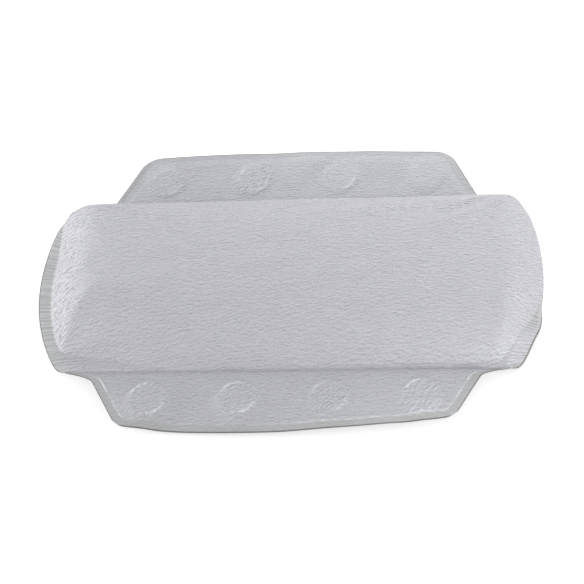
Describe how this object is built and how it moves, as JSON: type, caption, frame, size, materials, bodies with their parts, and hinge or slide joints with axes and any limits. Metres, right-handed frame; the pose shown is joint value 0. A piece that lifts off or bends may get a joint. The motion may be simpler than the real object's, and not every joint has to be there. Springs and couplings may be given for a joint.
{
  "type": "bath pillow",
  "caption": "Padded oblong bath pillow of embossed vinyl over foam, with a folding flap along each long side that carries a row of suction cups.",
  "frame": {"origin": "middle of the pillow's box, on the plane that its back and the rims of its cups rest on", "axes": "+X along the pillow's length, +Y towards the upper flap, +Z out of the padded face"},
  "size_m": [0.4, 0.258, 0.048],
  "materials": {
    "embossed_vinyl": "satin",
    "back_vinyl": "satin",
    "foam": "matte",
    "cup_pvc": "gloss"
  },
  "bodies": {
    "pillow": {"front_cover": "embossed_vinyl", "foam_core": "foam", "back_cover": "back_vinyl"},
    "upper_flap": {"upper_flap_front_ply": "embossed_vinyl", "upper_flap_back_ply": "back_vinyl"},
    "lower_flap": {"lower_flap_front_ply": "embossed_vinyl", "lower_flap_back_ply": "back_vinyl"},
    "suction_cup_upper_1": {"suction_cup_upper_1": "cup_pvc"},
    "suction_cup_upper_2": {"suction_cup_upper_2": "cup_pvc"},
    "suction_cup_upper_3": {"suction_cup_upper_3": "cup_pvc"},
    "suction_cup_upper_4": {"suction_cup_upper_4": "cup_pvc"},
    "suction_cup_lower_1": {"suction_cup_lower_1": "cup_pvc"},
    "suction_cup_lower_2": {"suction_cup_lower_2": "cup_pvc"},
    "suction_cup_lower_3": {"suction_cup_lower_3": "cup_pvc"},
    "suction_cup_lower_4": {"suction_cup_lower_4": "cup_pvc"}
  },
  "joints": [
    {"name": "upper_flap_fold", "type": "hinge", "parent": "pillow", "child": "upper_flap", "pos_m": [0, 0.077, 0.0109], "axis": [1, 0, 0], "range_deg": [-90, 90]},
    {"name": "lower_flap_fold", "type": "hinge", "parent": "pillow", "child": "lower_flap", "pos_m": [0, -0.077, 0.0109], "axis": [-1, 0, 0], "range_deg": [-90, 90]},
    {"name": "cup_upper_1_swivel", "type": "hinge", "parent": "upper_flap", "child": "suction_cup_upper_1", "pos_m": [-0.105, 0.102, 0], "axis": [0, 0, 1], "continuous": true},
    {"name": "cup_upper_2_swivel", "type": "hinge", "parent": "upper_flap", "child": "suction_cup_upper_2", "pos_m": [-0.035, 0.102, 0], "axis": [0, 0, 1], "continuous": true},
    {"name": "cup_upper_3_swivel", "type": "hinge", "parent": "upper_flap", "child": "suction_cup_upper_3", "pos_m": [0.035, 0.102, 0], "axis": [0, 0, 1], "continuous": true},
    {"name": "cup_upper_4_swivel", "type": "hinge", "parent": "upper_flap", "child": "suction_cup_upper_4", "pos_m": [0.105, 0.102, 0], "axis": [0, 0, 1], "continuous": true},
    {"name": "cup_lower_1_swivel", "type": "hinge", "parent": "lower_flap", "child": "suction_cup_lower_1", "pos_m": [-0.105, -0.102, 0], "axis": [0, 0, 1], "continuous": true},
    {"name": "cup_lower_2_swivel", "type": "hinge", "parent": "lower_flap", "child": "suction_cup_lower_2", "pos_m": [-0.035, -0.102, 0], "axis": [0, 0, 1], "continuous": true},
    {"name": "cup_lower_3_swivel", "type": "hinge", "parent": "lower_flap", "child": "suction_cup_lower_3", "pos_m": [0.035, -0.102, 0], "axis": [0, 0, 1], "continuous": true},
    {"name": "cup_lower_4_swivel", "type": "hinge", "parent": "lower_flap", "child": "suction_cup_lower_4", "pos_m": [0.105, -0.102, 0], "axis": [0, 0, 1], "continuous": true}
  ]
}
